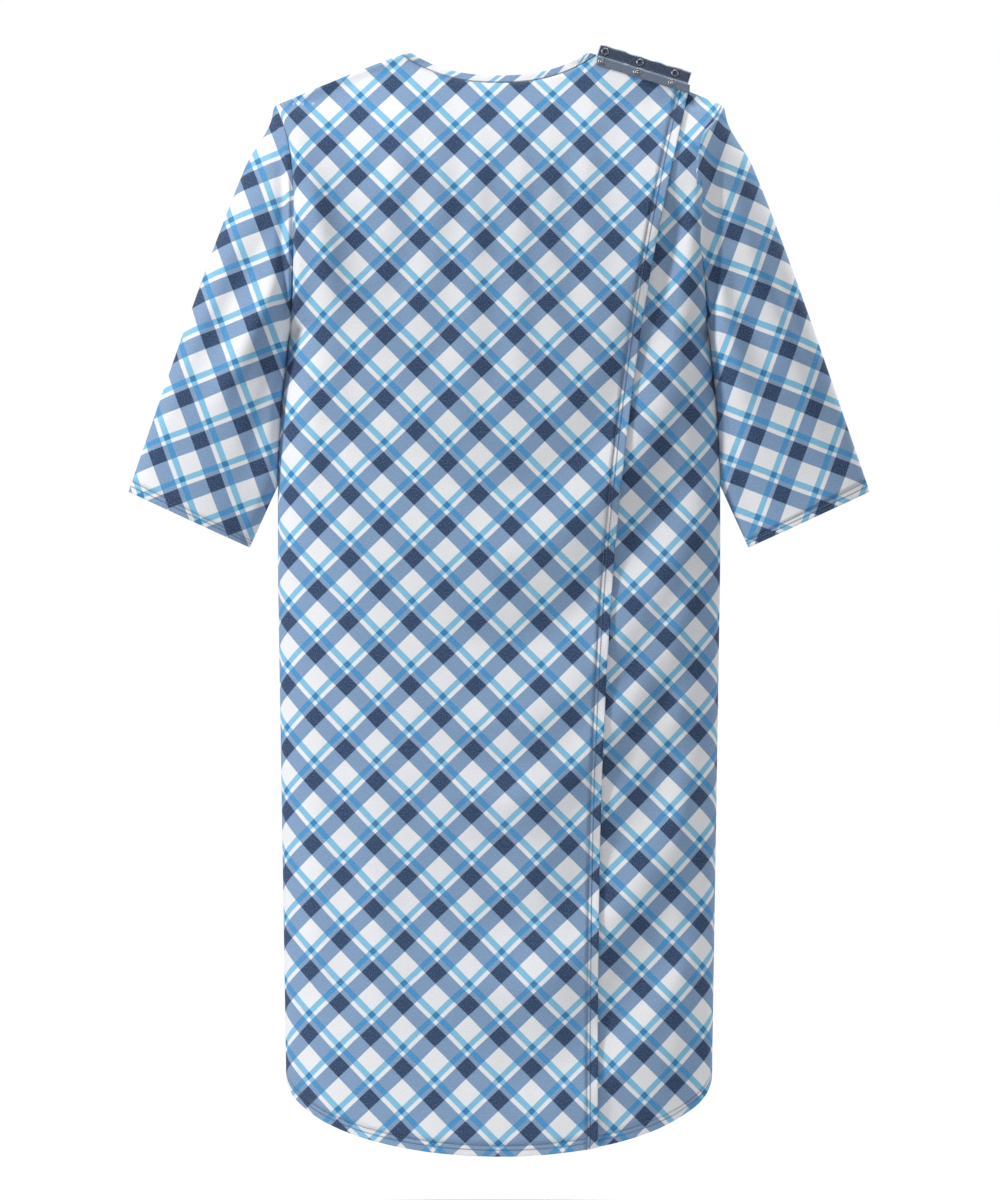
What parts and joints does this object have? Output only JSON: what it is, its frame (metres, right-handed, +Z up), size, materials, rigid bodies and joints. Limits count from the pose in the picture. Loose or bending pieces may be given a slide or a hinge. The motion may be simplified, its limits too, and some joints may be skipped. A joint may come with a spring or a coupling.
{
  "type": "patient gown",
  "caption": "Open-back patient gown with wide elbow-length sleeves, a bound round neck, lapped back panels, a snap closure over one shoulder and a curved hem.",
  "frame": {"origin": "midway between the neck ends of the two shoulders, where a hanger or a person carries the gown", "axes": "+Z up, the open back faces -Y, +X to the right seen from the back"},
  "size_m": [0.811, 0.1163, 1.2108],
  "materials": {
    "plaid_cloth": "brushed cotton flannel, printed bias plaid",
    "plaid_hem": "the same cloth turned up and twin-needle stitched",
    "plaid_binding": "the same cloth folded over the neck edge",
    "seam_allowance": "inside of the cloth, overlocked",
    "navy_tape": "dark twill tape",
    "grey_tape": "grey twill tape",
    "snap_metal": "plated ring snap"
  },
  "bodies": {
    "gown_body": {"front_panel": "plaid_cloth", "left_back_side": "plaid_cloth", "right_back_side": "plaid_cloth", "front_hem": "plaid_hem", "left_side_hem": "plaid_hem", "right_side_hem": "plaid_hem", "front_neck_binding": "plaid_binding", "left_shoulder_seam": "seam_allowance", "right_shoulder_seam": "seam_allowance", "left_side_seam": "seam_allowance", "right_side_seam": "seam_allowance", "left_armhole_seam": "seam_allowance", "right_armhole_seam": "seam_allowance"},
    "outer_flap": {"outer_back_flap": "plaid_cloth", "outer_flap_hem": "plaid_hem", "outer_edge_facing": "plaid_hem", "outer_neck_binding": "plaid_binding", "flap_snap_tape": "grey_tape", "snap_studs": "snap_metal", "stud_rings": "snap_metal"},
    "under_flap": {"under_back_flap": "plaid_cloth", "under_flap_hem": "plaid_hem", "under_edge_facing": "plaid_hem", "under_neck_binding": "plaid_binding"},
    "left_sleeve_part": {"left_sleeve": "plaid_cloth", "left_sleeve_hem": "plaid_hem", "left_underarm_seam": "seam_allowance"},
    "right_sleeve_part": {"right_sleeve": "plaid_cloth", "right_sleeve_hem": "plaid_hem", "right_underarm_seam": "seam_allowance"},
    "lap_part": {"shoulder_lap": "plaid_cloth", "lap_snap_tape": "navy_tape", "snap_sockets": "snap_metal", "socket_rings": "snap_metal"}
  },
  "joints": [
    {"name": "outer_flap_swing", "type": "hinge", "parent": "gown_body", "child": "outer_flap", "pos_m": [-0.106, -0.058, -0.0023], "axis": [-0.072, -0.0026, -0.9974], "range_deg": [0, 110]},
    {"name": "under_flap_swing", "type": "hinge", "parent": "gown_body", "child": "under_flap", "pos_m": [0.106, -0.0525, -0.0023], "axis": [-0.072, 0.0021, 0.9974], "range_deg": [0, 110]},
    {"name": "left_sleeve_swing", "type": "hinge", "parent": "gown_body", "child": "left_sleeve_part", "pos_m": [-0.2452, 0, -0.057], "axis": [0, 1, 0], "range_deg": [0, 60]},
    {"name": "right_sleeve_swing", "type": "hinge", "parent": "gown_body", "child": "right_sleeve_part", "pos_m": [0.2452, 0, -0.057], "axis": [0, -1, 0], "range_deg": [0, 60]},
    {"name": "shoulder_lap_fold", "type": "hinge", "parent": "gown_body", "child": "lap_part", "pos_m": [0.106, -0.0057, -0.00134], "axis": [0.9553, 0, -0.2955], "range_deg": [0, 172]}
  ],
  "couplings": [
    {"joint": "under_flap_swing", "follows": "outer_flap_swing", "ratio": 1}
  ]
}
